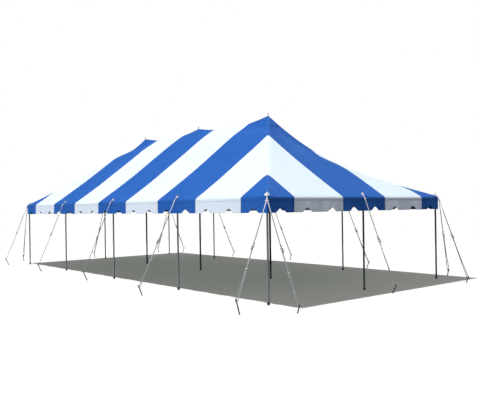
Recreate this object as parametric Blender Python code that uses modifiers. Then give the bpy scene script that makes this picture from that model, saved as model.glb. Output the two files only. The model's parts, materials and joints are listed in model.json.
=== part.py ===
"""Party tent on poles, 20 by 40 feet, with a blue and white striped canopy.

Metres, +Z up. The origin is on the ground under the middle pole, +X runs along
the tent and -Y is its front. Everything stands on the ground at z = 0.
"""

import math

import bmesh
import bpy
from mathutils import Matrix, Vector

# Canopy outline and heights
HALF_LENGTH = 6.096
HALF_WIDTH = 3.048
EAVE_HEIGHT = 2.10
PEAK_HEIGHT = 4.33
PEAK_SPACING = 3.048
FABRIC = 0.004
FABRIC_UNDER = 0.005

# Curves of the stretched roof
GRID = 0.381
FACE_SAG = 0.27
HIP_DIP_FRONT = 0.04
HIP_DIP_BACK = 0.32
HIP_SPREAD = 0.85
RIDGE_DIP = 0.155
RIDGE_DIP_POWER = 8

# Striped panels, five feet wide, with a seam between neighbours
PANEL = 1.524
SEAM_GAP = 0.0004

# Hanging edge with a notch in every half panel
VALANCE_DROP = 0.315
NOTCH_SPACING = PANEL / 2
NOTCH_HALF_WIDTH = 0.135
NOTCH_HEIGHT = 0.09
CUTTER_DEPTH = 0.08

# Poles and the pins on top of them
POLE_INSET = 0.05
SIDE_POLE_RADIUS = 0.021
CENTRE_POLE_RADIUS = 0.0255
FOOT_RADIUS = 0.030
FOOT_HEIGHT = 0.055
PIN_RADIUS = 0.008
PIN_ABOVE = 0.085
PIN_TAPER = 0.015
HOLE_CLEARANCE = 0.0005
TOUCH_GAP = 0.0003
ROUND_SIDES = 12

# Guy lines: a rope, a ratchet and a strap
ROPE_RADIUS = 0.006
RATCHET_RADIUS = 0.021
STRAP_RADIUS = 0.0095
RATCHET_START = 0.455
RATCHET_END = 0.505
RATCHET_TAPER = 0.004
LOOP_TURN = math.radians(300)
LOOP_STEPS = 10
BEND_STEPS = 4
BEND_INSIDE = 0.015
BEND_OUTSIDE = 0.012
BEND_ABOVE = 0.004

# Ground stakes, leaning away from the tent
STAKE_RADIUS = 0.0125
STAKE_HEAD_RADIUS = 0.019
STAKE_HEAD_LENGTH = 0.02
STAKE_LEAN = 0.45
STAKE_ABOVE_STRAP = 0.042

# Where each stake stands, as x and y from its pole, and how high the strap holds it.
# A corner pole has two.
SIDE_STAKES = (
    ("front_2", (-0.27, -0.71, 0.20)),
    ("front_3", (-0.18, -0.72, 0.22)),
    ("front_4", (0.18, -1.11, 0.19)),
    ("back_2", (-0.07, 0.98, 0.18)),
    ("back_3", (-0.30, 1.25, 0.18)),
    ("back_4", (0.23, 0.83, 0.18)),
    ("left_end", (-0.85, 0.0, 0.18)),
    ("right_end", (0.74, 0.0, 0.15)),
)
CORNER_STAKES = (
    ("front_1", (-1.48, 0.33, 0.18), (-0.35, -0.64, 0.20)),
    ("front_5", (0.38, -1.08, 0.25), (0.98, -0.24, 0.12)),
    ("back_5", (0.94, -0.27, 0.12), (-0.08, 0.68, 0.14)),
    ("back_1", (-0.25, 0.88, 0.18), (-1.07, 0.18, 0.18)),
)

COLOURS = {
    "blue_vinyl": ((0.035, 0.145, 0.52), 0.42, 0.0),
    "white_vinyl": ((0.90, 0.94, 0.96), 0.42, 0.0),
    "galvanised_steel": ((0.42, 0.44, 0.46), 0.38, 1.0),
    "white_webbing": ((0.80, 0.80, 0.78), 0.75, 0.0),
    "stake_steel": ((0.05, 0.045, 0.04), 0.60, 1.0),
}


def clear_scene():
    """Remove every object that is already in the scene."""
    for item in list(bpy.data.objects):
        bpy.data.objects.remove(item, do_unlink=True)


def make_collection(name):
    """A new collection in the scene."""
    collection = bpy.data.collections.new(name)
    bpy.context.scene.collection.children.link(collection)
    return collection


def make_materials():
    """One Principled material for each finish."""
    materials = {}
    for name, (colour, roughness, metallic) in COLOURS.items():
        material = bpy.data.materials.new(name)
        material.use_nodes = True
        shader = material.node_tree.nodes["Principled BSDF"]
        shader.inputs["Base Color"].default_value = (*colour, 1.0)
        shader.inputs["Roughness"].default_value = roughness
        shader.inputs["Metallic"].default_value = metallic
        materials[name] = material
    return materials


def mesh_object(name, mesh_source, material, collection):
    """A named object made from a bmesh, which is freed."""
    mesh = bpy.data.meshes.new(name)
    mesh_source.to_mesh(mesh)
    mesh_source.free()
    if material:
        mesh.materials.append(material)
    item = bpy.data.objects.new(name, mesh)
    collection.objects.link(item)
    return item


def roof_height(x, y):
    """Height of the canopy's upper side over a point of the ground plan.

    The roof rises evenly from the eave to the ridge and sags a little on each
    face. The hips dip between corner and peak, and the ridge between peaks.
    """
    from_end = HALF_LENGTH - abs(x)
    from_side = HALF_WIDTH - abs(y)
    rise = max(0.0, min(from_end, from_side) / HALF_WIDTH)
    height = EAVE_HEIGHT + (PEAK_HEIGHT - EAVE_HEIGHT) * rise - FACE_SAG * rise * (1.0 - rise)

    hip_dip = HIP_DIP_FRONT if y < 0 else HIP_DIP_BACK
    hip_shape = rise ** 1.5 * (1.0 - rise) / (0.6 ** 1.5 * 0.4)
    hip_distance = abs(from_end - from_side) / HIP_SPREAD
    height -= hip_dip * hip_shape * math.exp(-hip_distance ** 2)

    if abs(x) < PEAK_SPACING:
        from_peak = abs(abs(x) - PEAK_SPACING * round(abs(x) / PEAK_SPACING))
        slack = 1.0 - 2.0 * from_peak / PEAK_SPACING
        height -= RIDGE_DIP * (1.0 - slack ** 2) * rise ** RIDGE_DIP_POWER
    return height


def panel_name(x, y):
    """Name of the striped panel over a point of the ground plan.

    The stripes run up the slope and turn the corner along the hips, so each
    panel is a strip, a T or an L when seen from above.
    """
    end = "right" if x > 0 else "left"
    side = "front" if y < 0 else "back"
    along, across = abs(x), abs(y)
    if along < 0.5 * PANEL:
        return "blue_middle_panel"
    if along < 1.5 * PANEL:
        return f"white_{end}_panel"
    if along < 2.5 * PANEL or across < 0.5 * PANEL:
        return f"blue_{end}_end_panel"
    if along < 3.5 * PANEL or across < 1.5 * PANEL:
        return f"white_{side}_{end}_corner_panel"
    return f"blue_{side}_{end}_corner_panel"


def flat_roof_grid():
    """The whole roof's plan as a flat grid, split into triangles along the hips."""
    grid = bmesh.new()
    columns = round(2 * HALF_LENGTH / GRID)
    rows = round(2 * HALF_WIDTH / GRID)
    bmesh.ops.create_grid(grid, x_segments=columns, y_segments=rows, size=1.0)
    bmesh.ops.scale(grid, vec=(HALF_LENGTH, HALF_WIDTH, 1.0), verts=grid.verts)
    for face in list(grid.faces):
        centre = face.calc_center_median()
        turn = 1.0 if centre.x * centre.y > 0 else -1.0
        corners = sorted(face.verts, key=lambda v: (v.co.x - centre.x) + turn * (v.co.y - centre.y))
        bmesh.utils.face_split(face, corners[0], corners[-1])
    return grid


def on_eave(vertex):
    """Directions, as two signs, in which a vertex lies on the canopy's edge."""
    x_side = math.copysign(1, vertex.co.x) if abs(vertex.co.x) > HALF_LENGTH - FABRIC / 2 else 0
    y_side = math.copysign(1, vertex.co.y) if abs(vertex.co.y) > HALF_WIDTH - FABRIC / 2 else 0
    return x_side, y_side


def along_eave(edge):
    """Whether both ends of a mesh edge lie on the same side of the canopy's edge."""
    first, second = (on_eave(vertex) for vertex in edge.verts)
    return any(a and a == b for a, b in zip(first, second))


def open_seams(panel):
    """Draw the panel's seam edges back by half the gap between neighbours."""
    shifts = {}
    for edge in panel.edges:
        if not edge.is_boundary or along_eave(edge):
            continue
        span = edge.verts[1].co - edge.verts[0].co
        middle = edge.verts[0].co + span / 2
        inward = edge.link_faces[0].calc_center_median() - middle
        axis = 0 if abs(span.x) < abs(span.y) else 1
        for vertex in edge.verts:
            shifts.setdefault(vertex, {})[axis] = math.copysign(SEAM_GAP / 2, inward[axis])
    for vertex, shift in shifts.items():
        for axis, amount in shift.items():
            vertex.co[axis] += amount


def notch_places(name):
    """Middles of the valance notches in one panel, each with the axis its edge runs along."""
    just_inside = 1.0 - SEAM_GAP
    places = []
    for half, other, axis in ((HALF_LENGTH, HALF_WIDTH, 0), (HALF_WIDTH, HALF_LENGTH, 1)):
        count = round(2 * half / NOTCH_SPACING)
        for step in range(count):
            along = -half + (step + 0.5) * NOTCH_SPACING
            for side in (-1, 1):
                place = [0.0, 0.0]
                place[axis] = along
                place[1 - axis] = side * other
                if panel_name(place[0] * just_inside, place[1] * just_inside) == name:
                    places.append((*place, axis))
    return places


def add_notch(cutter, x, y, axis):
    """One half-round notch, as a flattened cylinder across the valance."""
    facing = Matrix.Rotation(math.radians(90), 4, "X" if axis == 0 else "Y")
    if axis == 0:
        flatten = Matrix.Diagonal((NOTCH_HALF_WIDTH, 1.0, NOTCH_HEIGHT, 1.0))
    else:
        flatten = Matrix.Diagonal((1.0, NOTCH_HALF_WIDTH, NOTCH_HEIGHT, 1.0))
    place = Matrix.Translation((x, y, EAVE_HEIGHT - VALANCE_DROP))
    bmesh.ops.create_cone(cutter, cap_ends=True, segments=16, radius1=1.0, radius2=1.0,
                          depth=CUTTER_DEPTH, matrix=place @ flatten @ facing)


def add_pin_hole(cutter, x, y, height):
    """One upright hole for a pin."""
    radius = PIN_RADIUS + HOLE_CLEARANCE
    bmesh.ops.create_cone(cutter, cap_ends=True, segments=ROUND_SIDES, radius1=radius,
                          radius2=radius, depth=CUTTER_DEPTH,
                          matrix=Matrix.Translation((x, y, height)))


def cut(item, cutter_mesh, cutters):
    """Subtract a cutter from an object with a Boolean modifier."""
    cutter = mesh_object(f"cutter_{item.name}_{len(cutters.objects)}", cutter_mesh, None, cutters)
    cutter.hide_render = True
    cutter.display_type = "WIRE"
    boolean = item.modifiers.new("cut", "BOOLEAN")
    boolean.object = cutter
    boolean.solver = "EXACT"
    boolean.operation = "DIFFERENCE"


def make_panel(name, grid, pins, material, parts, cutters):
    """One striped panel: its roof surface, its length of valance and its holes."""
    panel = grid.copy()
    strangers = [face for face in panel.faces
                 if panel_name(*face.calc_center_median()[:2]) != name]
    bmesh.ops.delete(panel, geom=strangers, context="FACES")
    open_seams(panel)
    for vertex in panel.verts:
        vertex.co.z = roof_height(vertex.co.x, vertex.co.y)

    hem = [edge for edge in panel.edges if edge.is_boundary and along_eave(edge)]
    hanging = bmesh.ops.extrude_edge_only(panel, edges=hem)["geom"]
    for vertex in hanging:
        if isinstance(vertex, bmesh.types.BMVert):
            vertex.co.z -= VALANCE_DROP

    inside = bmesh.ops.extrude_face_region(panel, geom=list(panel.faces), use_keep_orig=True)["geom"]
    for vertex in inside:
        if not isinstance(vertex, bmesh.types.BMVert):
            continue
        x_side, y_side = on_eave(vertex)
        hangs = vertex.co.z < EAVE_HEIGHT - VALANCE_DROP / 2
        vertex.co.x -= x_side * FABRIC
        vertex.co.y -= y_side * FABRIC
        vertex.co.z -= 0.0 if hangs else FABRIC_UNDER
    bmesh.ops.recalc_face_normals(panel, faces=panel.faces)
    item = mesh_object(name, panel, material, parts)

    places = notch_places(name)
    if places:
        notches = bmesh.new()
        for x, y, axis in places:
            add_notch(notches, x, y, axis)
        cut(item, notches, cutters)
    mine = [pin for pin in pins if panel_name(pin[0], pin[1]) == name]
    if mine:
        holes = bmesh.new()
        for x, y in mine:
            add_pin_hole(holes, x, y, roof_height(x, y))
        cut(item, holes, cutters)
    return item


def turned(name, profile, place, material, parts):
    """A turned solid: a profile of (radius, height) points, top to bottom."""
    outline = bmesh.new()
    points = [outline.verts.new((radius, 0.0, height)) for radius, height in profile]
    for upper, lower in zip(points, points[1:]):
        outline.edges.new((upper, lower))
    item = mesh_object(name, outline, material, parts)
    item.location = place
    screw = item.modifiers.new("turn", "SCREW")
    screw.steps = ROUND_SIDES
    screw.render_steps = ROUND_SIDES
    screw.use_smooth_shade = False
    screw.use_merge_vertices = True
    screw.merge_threshold = 0.00005
    return item


def canopy_over(pole):
    """Height of the canopy's upper side over a pole at the edge, and its slope there."""
    inner_x = math.copysign(min(abs(pole[0]), HALF_LENGTH - GRID), pole[0])
    inner_y = math.copysign(min(abs(pole[1]), HALF_WIDTH - GRID), pole[1])
    slope = (roof_height(inner_x, inner_y) - EAVE_HEIGHT) / GRID
    return EAVE_HEIGHT + slope * POLE_INSET, slope


def peak_slope():
    """Steepest fall of the canopy next to an end peak, on the strip beside a back hip."""
    beside = roof_height(PEAK_SPACING + GRID, 0.0)
    on_hip = roof_height(PEAK_SPACING + GRID, GRID)
    return math.hypot(PEAK_HEIGHT - beside, beside - on_hip) / GRID


def make_pole(name, x, y, radius, canopy_height, slope, material, parts):
    """A round pole with a foot, a flat top under the canopy and a pin through it."""
    shoulder = canopy_height - FABRIC_UNDER - slope * (radius + FABRIC) - TOUCH_GAP
    tip = canopy_height + PIN_ABOVE
    profile = (
        (0.0, tip),
        (PIN_RADIUS / 2, tip),
        (PIN_RADIUS, tip - PIN_TAPER),
        (PIN_RADIUS, shoulder),
        (radius, shoulder),
        (radius, FOOT_HEIGHT),
        (FOOT_RADIUS, FOOT_HEIGHT - 0.006),
        (FOOT_RADIUS, 0.0),
        (0.0, 0.0),
    )
    return turned(name, profile, (x, y, 0.0), material, parts)


def arc(centre, radius, start, sweep, steps):
    """Points round an upright axis, with the flats of the ring at the given radius."""
    outer = radius / math.cos(sweep / steps / 2)
    points = []
    for step in range(steps + 1):
        angle = start + sweep * step / steps
        points.append(Vector((centre.x + outer * math.cos(angle),
                              centre.y + outer * math.sin(angle), centre.z)))
    return points


def heading(stake):
    """Compass angle of a stake as seen from its pole."""
    return math.atan2(stake[1], stake[0])


def over_eave(start, direction, slope):
    """Two rope points that carry it over the canopy's edge, inside and outside it."""
    reaches = []
    for axis, half in ((0, HALF_LENGTH), (1, HALF_WIDTH)):
        if direction[axis] * start[axis] > 0:
            reaches.append((half - abs(start[axis])) / abs(direction[axis]))
    reach = min(reaches)
    inside = start + direction * (reach - BEND_INSIDE)
    outside = start + direction * (reach + BEND_OUTSIDE)
    inside.z = EAVE_HEIGHT + BEND_INSIDE * slope + 2 * ROPE_RADIUS
    outside.z = EAVE_HEIGHT + BEND_ABOVE
    return inside, outside


def stake_axis(pole, stake, height):
    """Point on a leaning stake's middle line at a height above the ground."""
    outward = Vector((stake[0], stake[1], 0.0)).normalized()
    foot = Vector((pole[0] + stake[0], pole[1] + stake[1], 0.0))
    return foot + outward * STAKE_LEAN * height + Vector((0.0, 0.0, height))


def guy_leg(top, pole, stake):
    """Points and radii from the eave down to the loop round the stake."""
    direction = Vector((stake[0], stake[1], 0.0)).normalized()
    inside, outside = over_eave(top, direction, canopy_over(pole)[1])
    centre = stake_axis(pole, stake, stake[2])
    wrap_radius = STAKE_RADIUS + STRAP_RADIUS * math.hypot(1.0, STAKE_LEAN) + TOUCH_GAP
    wrap = arc(centre, wrap_radius, heading(stake) + math.pi, LOOP_TURN, LOOP_STEPS)
    line = wrap[0] - outside
    leg = [(inside, ROPE_RADIUS), (outside, ROPE_RADIUS)]
    leg += [
        (outside + line * (RATCHET_START - RATCHET_TAPER), ROPE_RADIUS),
        (outside + line * RATCHET_START, RATCHET_RADIUS),
        (outside + line * RATCHET_END, RATCHET_RADIUS),
        (outside + line * (RATCHET_END + RATCHET_TAPER), STRAP_RADIUS),
    ]
    leg += [(point, STRAP_RADIUS) for point in wrap]
    return leg


def make_guy(name, route, material, parts):
    """A tube along a route of points, each with its own radius."""
    curve = bpy.data.curves.new(name, "CURVE")
    curve.dimensions = "3D"
    curve.bevel_depth = ROPE_RADIUS
    curve.bevel_resolution = 2
    curve.use_fill_caps = True
    spline = curve.splines.new("POLY")
    spline.points.add(len(route) - 1)
    for point, (place, radius) in zip(spline.points, route):
        point.co = (*place, 1.0)
        point.radius = radius / ROPE_RADIUS
    curve.materials.append(material)
    item = bpy.data.objects.new(name, curve)
    parts.objects.link(item)
    return item


def pin_ring(pole):
    """Centre and radius of the rope's turn round a pin, just above the canopy."""
    height, slope = canopy_over(pole)
    radius = PIN_RADIUS + ROPE_RADIUS + TOUCH_GAP
    rise = slope * (radius + ROPE_RADIUS) + ROPE_RADIUS
    return Vector((pole[0], pole[1], height + rise)), radius


def side_guy_route(pole, stake):
    """Route of one guy: a turn round the pin, then down to its stake."""
    centre, radius = pin_ring(pole)
    turn = arc(centre, radius, heading(stake) - LOOP_TURN, LOOP_TURN, LOOP_STEPS)
    return [(point, ROPE_RADIUS) for point in turn] + guy_leg(turn[-1], pole, stake)


def corner_guy_route(pole, first, second):
    """Route of a corner's two guys: up from one stake, round the pin, down to the other."""
    centre, radius = pin_ring(pole)
    turn_left = math.remainder(heading(second) - heading(first), 2 * math.pi)
    quarter = math.copysign(math.pi / 2, turn_left)
    sweep = -math.copysign(math.pi - abs(turn_left), turn_left)
    bend = arc(centre, radius, heading(first) - quarter, sweep, BEND_STEPS)
    up = guy_leg(bend[0], pole, first)
    down = guy_leg(bend[-1], pole, second)
    return up[::-1] + [(point, ROPE_RADIUS) for point in bend] + down


def make_stake(name, pole, stake, material, parts):
    """A round steel stake with a thick head just above its strap, leaning away from the tent."""
    rod = bmesh.new()
    shaft = stake[2] + STAKE_ABOVE_STRAP - STAKE_HEAD_LENGTH
    bmesh.ops.create_cone(rod, cap_ends=True, segments=ROUND_SIDES, radius1=STAKE_RADIUS,
                          radius2=STAKE_RADIUS, depth=shaft,
                          matrix=Matrix.Translation((0.0, 0.0, shaft / 2)))
    top = max(rod.faces, key=lambda face: face.calc_center_median().z)
    for widen, lift in ((STAKE_HEAD_RADIUS / STAKE_RADIUS, 0.0), (1.0, STAKE_HEAD_LENGTH)):
        top = bmesh.ops.extrude_discrete_faces(rod, faces=[top])["faces"][0]
        for vertex in top.verts:
            vertex.co = (vertex.co.x * widen, vertex.co.y * widen, vertex.co.z + lift)
    for vertex in rod.verts:
        axis = stake_axis(pole, stake, vertex.co.z)
        vertex.co += Vector((axis.x, axis.y, 0.0))
    return mesh_object(name, rod, material, parts)


def side_pole_places():
    """Name and place of each pole round the edge, from left to right."""
    places = {}
    for side, y in (("front", -1), ("back", 1)):
        for number in range(5):
            x = (number - 2) * PEAK_SPACING
            x = math.copysign(min(abs(x), HALF_LENGTH - POLE_INSET), x)
            places[f"{side}_{number + 1}"] = (x, y * (HALF_WIDTH - POLE_INSET))
    places["left_end"] = (-(HALF_LENGTH - POLE_INSET), 0.0)
    places["right_end"] = (HALF_LENGTH - POLE_INSET, 0.0)
    return places


def build():
    """Make the whole tent."""
    clear_scene()
    parts = make_collection("party_tent")
    cutters = make_collection("cutters")
    materials = make_materials()
    edge_poles = side_pole_places()
    peaks = [(number * PEAK_SPACING, 0.0) for number in (-1, 0, 1)]
    pins = list(edge_poles.values()) + peaks

    grid = flat_roof_grid()
    names = []
    for face in grid.faces:
        name = panel_name(*face.calc_center_median()[:2])
        if name not in names:
            names.append(name)
    for name in sorted(names):
        finish = "blue_vinyl" if name.startswith("blue") else "white_vinyl"
        make_panel(name, grid, pins, materials[finish], parts, cutters)
    grid.free()

    steel = materials["galvanised_steel"]
    for name, pole in edge_poles.items():
        make_pole(f"pole_{name}", *pole, SIDE_POLE_RADIUS, *canopy_over(pole), steel, parts)
    for number, (x, y) in enumerate(peaks, start=1):
        make_pole(f"centre_pole_{number}", x, y, CENTRE_POLE_RADIUS, PEAK_HEIGHT, peak_slope(),
                  steel, parts)

    webbing = materials["white_webbing"]
    dark = materials["stake_steel"]
    for name, stake in SIDE_STAKES:
        pole = edge_poles[name]
        make_guy(f"guy_{name}", side_guy_route(pole, stake), webbing, parts)
        make_stake(f"stake_{name}", pole, stake, dark, parts)
    for name, first, second in CORNER_STAKES:
        pole = edge_poles[name]
        make_guy(f"guys_{name}", corner_guy_route(pole, first, second), webbing, parts)
        for letter, stake in (("a", first), ("b", second)):
            make_stake(f"stake_{name}_{letter}", pole, stake, dark, parts)


build()
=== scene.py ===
import json

import bpy
import numpy as np
from mathutils import Matrix

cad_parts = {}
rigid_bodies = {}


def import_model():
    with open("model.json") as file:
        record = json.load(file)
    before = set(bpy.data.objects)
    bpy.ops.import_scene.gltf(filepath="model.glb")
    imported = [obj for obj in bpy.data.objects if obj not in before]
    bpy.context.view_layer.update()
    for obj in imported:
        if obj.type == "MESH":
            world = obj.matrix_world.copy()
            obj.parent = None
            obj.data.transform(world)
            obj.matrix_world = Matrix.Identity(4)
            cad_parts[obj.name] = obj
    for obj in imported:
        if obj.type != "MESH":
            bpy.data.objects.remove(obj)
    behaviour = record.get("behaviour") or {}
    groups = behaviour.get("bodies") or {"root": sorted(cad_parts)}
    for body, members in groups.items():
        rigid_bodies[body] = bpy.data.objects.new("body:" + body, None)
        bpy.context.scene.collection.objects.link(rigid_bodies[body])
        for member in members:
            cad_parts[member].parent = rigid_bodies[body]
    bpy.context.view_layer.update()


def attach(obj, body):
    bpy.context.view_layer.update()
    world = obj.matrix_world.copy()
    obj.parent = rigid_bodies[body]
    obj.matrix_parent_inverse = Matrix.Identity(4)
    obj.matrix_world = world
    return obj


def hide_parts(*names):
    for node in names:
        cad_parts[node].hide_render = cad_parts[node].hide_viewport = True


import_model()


# Camera, ground and light
# A photograph from beyond the near right corner, at the height of a standing person.
# The tent stands on a plain pale studio floor, under one high lamp for the floor, one like
# it for the tent, a wide soft light from the front and an even sky.

scene = bpy.context.scene
eye = np.array([14.2043, -10.9064, 1.8865])
azimuth, elevation, roll = np.radians([51.587, -0.0054, -0.8584])
photo_width, focal_pixels, centre_column = 480, 584.09, 208.9

back = np.array([np.sin(azimuth) * np.cos(elevation),
                 -np.cos(azimuth) * np.cos(elevation),
                 np.sin(elevation)])
level = np.cross([0.0, 0.0, 1.0], back)
level /= np.linalg.norm(level)
upright = np.cross(back, level)
aim = np.eye(4)
aim[:3, 0] = np.cos(roll) * level + np.sin(roll) * upright
aim[:3, 1] = np.cos(roll) * upright - np.sin(roll) * level
aim[:3, 2] = back
aim[:3, 3] = eye

lens = bpy.data.cameras.new("photographer")
lens.sensor_width = 36.0
lens.lens = focal_pixels / photo_width * lens.sensor_width
lens.shift_x = (photo_width / 2 - centre_column) / photo_width
lens.clip_end = 2000.0
camera = bpy.data.objects.new("photographer", lens)
camera.matrix_world = Matrix(aim.tolist())
scene.collection.objects.link(camera)
scene.camera = camera
scene.view_settings.view_transform = "Standard"


def node(tree, kind, inputs=(), **settings):
    """A new shader node with its settings, each input either joined to a socket or given a value."""
    made = tree.nodes.new("ShaderNode" + kind)
    for name, value in settings.items():
        setattr(made, name, value)
    for name, value in dict(inputs).items():
        if isinstance(value, bpy.types.NodeSocket):
            tree.links.new(value, made.inputs[name])
        else:
            made.inputs[name].default_value = value
    return made


world = bpy.data.worlds.new("studio")
world.use_nodes = True
world.node_tree.nodes.clear()
sky = node(world.node_tree, "Background", {"Color": (1.03, 0.88, 1.02, 1.0), "Strength": 0.27})
paper = node(world.node_tree, "Background", {"Color": (1.0, 1.0, 1.0, 1.0), "Strength": 1.0})
ray = node(world.node_tree, "LightPath")
seen = node(world.node_tree, "MixShader", {0: ray.outputs["Is Camera Ray"],
                                           1: sky.outputs[0], 2: paper.outputs[0]})
node(world.node_tree, "OutputWorld", {"Surface": seen.outputs[0]})
scene.world = world



def far_light(name, way, energy, spread, colour):
    """A sun lamp that shines from the given way, with soft shadows as wide as its spread."""
    way = np.array(way) / np.linalg.norm(way)
    across = np.cross([0.02, 1.0, 0.01], way)
    across /= np.linalg.norm(across)
    turn = np.eye(4)
    turn[:3, :3] = np.column_stack([across, np.cross(way, across), way])
    light = bpy.data.lights.new(name, "SUN")
    light.energy, light.angle, light.color = energy, np.radians(spread), colour
    lamp = bpy.data.objects.new(name, light)
    lamp.matrix_world = Matrix(turn.tolist())
    scene.collection.objects.link(lamp)
    return lamp


tent_lamp = far_light("tent_lamp", (0.06, 0.25, 0.97), 3.10, 4.0, (0.99, 1.02, 1.0))
far_light("front_light", (-0.10, -0.995, 0.04), 3.6, 40.0, (1.0, 0.97, 1.0))
lamp_place = (-1.8, -6.4, 28.0)
high = bpy.data.lights.new("floor_lamp", "POINT")
high.energy, high.shadow_soft_size = 69500.0, 0.30
floor_lamp = bpy.data.objects.new("floor_lamp", high)
floor_lamp.matrix_world = Matrix.Translation(lamp_place)
scene.collection.objects.link(floor_lamp)

floor_reach = 260.0
floor_mesh = bpy.data.meshes.new("studio_floor")
floor_mesh.from_pydata([(-floor_reach, -floor_reach, 0.0), (floor_reach, -floor_reach, 0.0),
                        (floor_reach, floor_reach, 0.0), (-floor_reach, floor_reach, 0.0)],
                       [], [(0, 1, 2, 3)])
floor = bpy.data.objects.new("studio_floor", floor_mesh)
scene.collection.objects.link(floor)
for lamp, state in ((floor_lamp, "INCLUDE"), (tent_lamp, "EXCLUDE")):
    lit = bpy.data.collections.new("floor_for_" + lamp.name)
    lit.objects.link(floor)
    lit.collection_objects[0].light_linking.link_state = state
    lamp.light_linking.receiver_collection = lit
pale = bpy.data.materials.new("pale_floor")
pale.use_nodes = True
pale.node_tree.nodes.clear()
place = node(pale.node_tree, "TexCoord").outputs["Object"]
apart = node(pale.node_tree, "VectorMath", {0: place}, operation="LENGTH").outputs["Value"]
cove_starts = node(pale.node_tree, "MapRange", {"Value": apart, "From Min": 11.0, "From Max": 18.0},
                   interpolation_type="SMOOTHSTEP").outputs["Result"]
from_lamp = node(pale.node_tree, "VectorMath", {0: place, 1: lamp_place},
                 operation="DISTANCE").outputs["Value"]
farther = node(pale.node_tree, "Math", {0: from_lamp, 1: lamp_place[2]}, operation="DIVIDE")
evened = node(pale.node_tree, "Math", {0: farther.outputs[0], 1: 3.0}, operation="POWER")
even_tone = node(pale.node_tree, "VectorMath", {0: (0.359, 0.358, 0.369),
                                                "Scale": evened.outputs[0]}, operation="SCALE")
shown = node(pale.node_tree, "BsdfDiffuse", {"Color": even_tone.outputs[0]})
fill = node(pale.node_tree, "Emission", {"Color": (0.87, 1.0, 0.70, 1.0), "Strength": 0.117})
lit_floor = node(pale.node_tree, "AddShader", {0: shown.outputs[0], 1: fill.outputs[0]})
cove = node(pale.node_tree, "Emission", {"Color": (1.0, 1.0, 1.0, 1.0), "Strength": 1.0})
seen_floor = node(pale.node_tree, "MixShader", {0: cove_starts, 1: lit_floor.outputs[0],
                                                2: cove.outputs[0]})
thrown = node(pale.node_tree, "BsdfDiffuse", {"Color": (0.157, 0.164, 0.164, 1.0)})
ray = node(pale.node_tree, "LightPath")
ground = node(pale.node_tree, "MixShader", {0: ray.outputs["Is Camera Ray"],
                                            1: thrown.outputs[0], 2: seen_floor.outputs[0]})
node(pale.node_tree, "OutputMaterial", {"Surface": ground.outputs[0]})
floor_mesh.materials.append(pale)


# Striped canopy
# Coated polyester cloth in welded five-foot stripes that mitre along the hips, held up at
# three peaks and stretched to the side poles. A notched valance hangs from its hemmed edge.

half_length, half_width = 6.096, 3.048
eave_height, peak_height = 2.10, 4.33
peak_spacing = 3.048
stripe = 1.524
cloth_thickness = 0.0012
face_sag = 0.27
hip_dip_front, hip_dip_back, hip_spread = 0.04, 0.32, 0.85
ridge_dip, ridge_dip_power = 0.155, 8


def roof_height(x, y):
    """Height of the canopy over a point of the plan.

    It rises evenly with the distance from the eave and sags as a parabola. A bell-shaped
    hollow follows each hip, and the ridge sags as a parabola between neighbouring peaks.
    """
    from_end = half_length - np.abs(x)
    from_side = half_width - np.abs(y)
    rise = np.clip(np.minimum(from_end, from_side) / half_width, 0.0, 1.0)
    height = eave_height + (peak_height - eave_height) * rise - face_sag * rise * (1 - rise)
    to_back = np.clip((y + 0.762) / 0.762, 0.0, 1.0)
    hip_dip = hip_dip_front + (hip_dip_back - hip_dip_front) * to_back ** 2 * (3 - 2 * to_back)
    hollow = rise ** 1.5 * (1 - rise) / (0.6 ** 1.5 * 0.4)
    height -= hip_dip * hollow * np.exp(-((from_end - from_side) / hip_spread) ** 2)
    from_peak = np.abs(np.abs(x) - peak_spacing * np.round(np.abs(x) / peak_spacing))
    slack = 1 - 2 * from_peak / peak_spacing
    sag = ridge_dip * (1 - slack ** 2) * rise ** ridge_dip_power
    return height - np.where(np.abs(x) < peak_spacing, sag, 0.0)


pole_inset = 0.05
pole_lines = {name: (column * peak_spacing, row) for name, column, row in (
    ("front_1", -2, -1), ("front_2", -1, -1), ("front_3", 0, -1), ("front_4", 1, -1),
    ("front_5", 2, -1), ("back_1", -2, 1), ("back_2", -1, 1), ("back_3", 0, 1),
    ("back_4", 1, 1), ("back_5", 2, 1), ("left_end", -2, 0), ("right_end", 2, 0))}
edge_poles = {name: (float(np.clip(x, pole_inset - half_length, half_length - pole_inset)),
                     row * (half_width - pole_inset))
              for name, (x, row) in pole_lines.items()}
peak_poles = {f"centre_pole_{number + 2}": (number * peak_spacing, 0.0) for number in (-1, 0, 1)}


def cloth_ripple(x, y):
    """Small unevenness of the stretched cloth, added to its height.

    Two slow sine waves fade out at the eave and at the ridge. Round each pin, cosine
    rays of the compass angle fade out with the distance, as creases of tension.
    """
    from_edge = np.minimum(half_length - np.abs(x), half_width - np.abs(y))
    rise = np.clip(from_edge / half_width, 0.0, 1.0)
    calm = 4 * rise * (1 - rise)
    ripple = 0.0045 * calm * np.sin(2.3 * x + 0.9 * np.sin(1.7 * y) + 0.4)
    ripple += 0.003 * calm * np.sin(4.1 * y + 1.1 * np.sin(1.9 * x) + 1.3)
    near_edge = np.clip(from_edge / 0.12, 0.0, 1.0)
    for pin_x, pin_y in list(edge_poles.values()) + list(peak_poles.values()):
        apart = np.hypot(x - pin_x, y - pin_y)
        turn = np.arctan2(y - pin_y, x - pin_x)
        reach = np.exp(-apart / 0.42) * np.clip((apart - 0.05) / 0.15, 0.0, 1.0)
        ripple += 0.0035 * np.cos(10 * turn) * reach * near_edge
    return ripple


def steady(share):
    """A smooth step from nothing to one."""
    share = np.clip(share, 0.0, 1.0)
    return share * share * (3 - 2 * share)


hip_roll_width, hip_lift = 0.12, 0.015
eave_round, eave_drop = 0.05, 0.0175


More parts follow.
